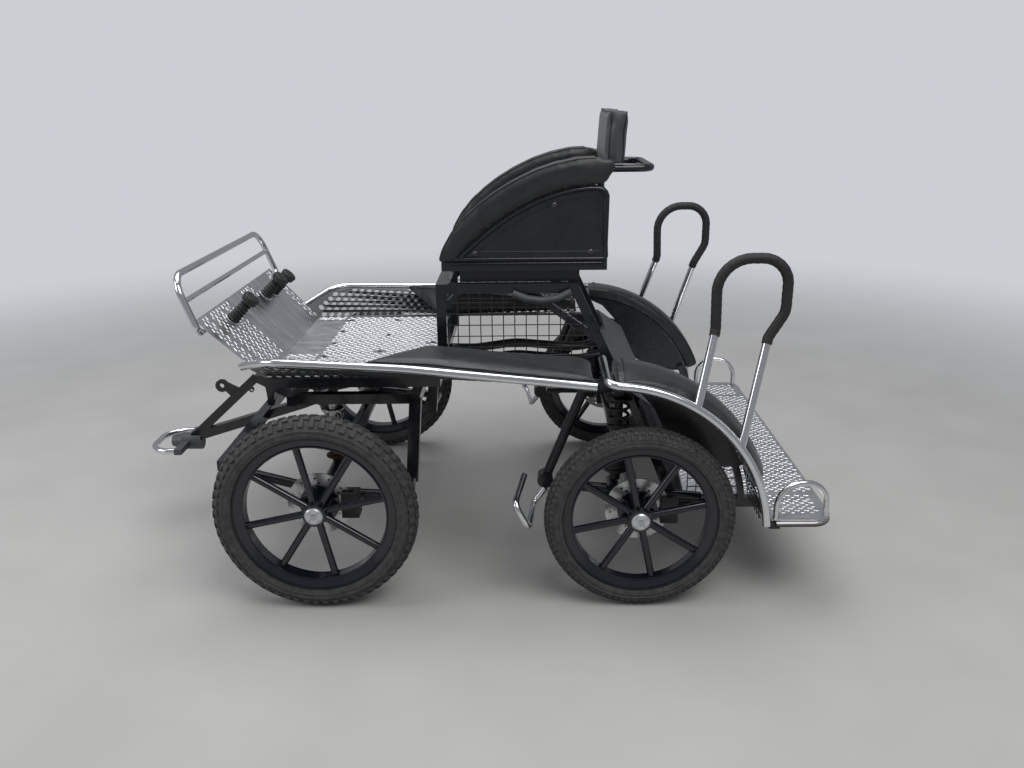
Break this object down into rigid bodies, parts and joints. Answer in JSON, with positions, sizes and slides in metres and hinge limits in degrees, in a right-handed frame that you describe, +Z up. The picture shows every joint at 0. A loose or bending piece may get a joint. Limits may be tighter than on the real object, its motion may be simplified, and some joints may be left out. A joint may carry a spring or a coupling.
{
  "type": "four-wheel pony driving carriage",
  "caption": "Marathon-type driving carriage with a steered front carriage, turning spoked wheels, footboard, raised driver's seat and a standing platform with grab handles.",
  "frame": {"origin": "on the ground under the middle of the overall length, on the centre plane", "axes": "+X forward, +Y left, +Z up"},
  "size_m": [2.0578, 1.262, 1.2986],
  "materials": {
    "frame_black": "gloss black paint, worn at the edges",
    "tread_plate": "raised five-bar tread plate, scuffed",
    "bright_tube": "polished tube",
    "black_vinyl": "soft black upholstery vinyl with seams",
    "grey_vinyl": "dark grey upholstery vinyl",
    "grip_tape": "black tape wound in a spiral",
    "pedal_rubber": "black ribbed rubber",
    "tyre_rubber": "dusty black tyre rubber",
    "disc_steel": "bare brake disc steel",
    "cap_silver": "satin silver cap",
    "panel_black": "gloss black panel",
    "cast_black": "black cast brake caliper"
  },
  "bodies": {
    "body": {"chassis_frame": "frame_black", "turntable_upper": "frame_black", "floor_plate": "tread_plate", "footboard": "tread_plate", "front_grab_rail": "bright_tube", "brake_pedals": "pedal_rubber", "side_guards": "frame_black", "side_rails": "bright_tube", "side_pad_left": "black_vinyl", "side_pad_right": "black_vinyl", "seat_pedestal": "frame_black", "pedestal_mesh": "frame_black", "seat_slide": "frame_black", "seat_box": "frame_black", "seat_panels": "panel_black", "seat_cushion": "black_vinyl", "seat_bolster_left": "black_vinyl", "seat_bolster_right": "black_vinyl", "backrest_pad": "grey_vinyl", "backrest_handle": "frame_black", "fender_arches": "frame_black", "fender_sides": "panel_black", "fender_pad_left": "black_vinyl", "fender_pad_right": "black_vinyl", "fender_rails": "bright_tube", "grab_handles": "bright_tube", "handle_grips": "grip_tape", "rear_bulkhead": "frame_black", "rear_platform": "tread_plate", "rear_frame": "frame_black", "platform_loops": "bright_tube", "rear_mesh": "frame_black", "side_steps": "bright_tube", "rear_axle": "frame_black", "rear_springs": "frame_black", "rear_calipers": "cast_black"},
    "front_carriage": {"turntable_lower": "frame_black", "draw_frame": "frame_black", "nose_bow": "bright_tube", "pole_socket": "frame_black", "front_axle": "frame_black", "front_springs": "frame_black", "front_calipers": "cast_black"},
    "wheel_front_left_body": {"tyre_front_left": "tyre_rubber", "wheel_front_left": "frame_black", "brake_disc_front_left": "disc_steel", "hub_cap_front_left": "cap_silver"},
    "wheel_front_right_body": {"tyre_front_right": "tyre_rubber", "wheel_front_right": "frame_black", "brake_disc_front_right": "disc_steel", "hub_cap_front_right": "cap_silver"},
    "wheel_rear_left_body": {"tyre_rear_left": "tyre_rubber", "wheel_rear_left": "frame_black", "brake_disc_rear_left": "disc_steel", "hub_cap_rear_left": "cap_silver"},
    "wheel_rear_right_body": {"tyre_rear_right": "tyre_rubber", "wheel_rear_right": "frame_black", "brake_disc_rear_right": "disc_steel", "hub_cap_rear_right": "cap_silver"}
  },
  "joints": [
    {"name": "steering", "type": "hinge", "parent": "body", "child": "front_carriage", "pos_m": [0.365, 0, 0.5], "axis": [0, 0, 1], "range_deg": [-25, 25]},
    {"name": "front_left_spin", "type": "hinge", "parent": "front_carriage", "child": "wheel_front_left_body", "pos_m": [0.365, 0.591, 0.278], "axis": [0, 1, 0], "continuous": true},
    {"name": "front_right_spin", "type": "hinge", "parent": "front_carriage", "child": "wheel_front_right_body", "pos_m": [0.365, -0.591, 0.278], "axis": [0, 1, 0], "continuous": true},
    {"name": "rear_left_spin", "type": "hinge", "parent": "body", "child": "wheel_rear_left_body", "pos_m": [-0.505, 0.591, 0.257], "axis": [0, 1, 0], "continuous": true},
    {"name": "rear_right_spin", "type": "hinge", "parent": "body", "child": "wheel_rear_right_body", "pos_m": [-0.505, -0.591, 0.257], "axis": [0, 1, 0], "continuous": true}
  ]
}
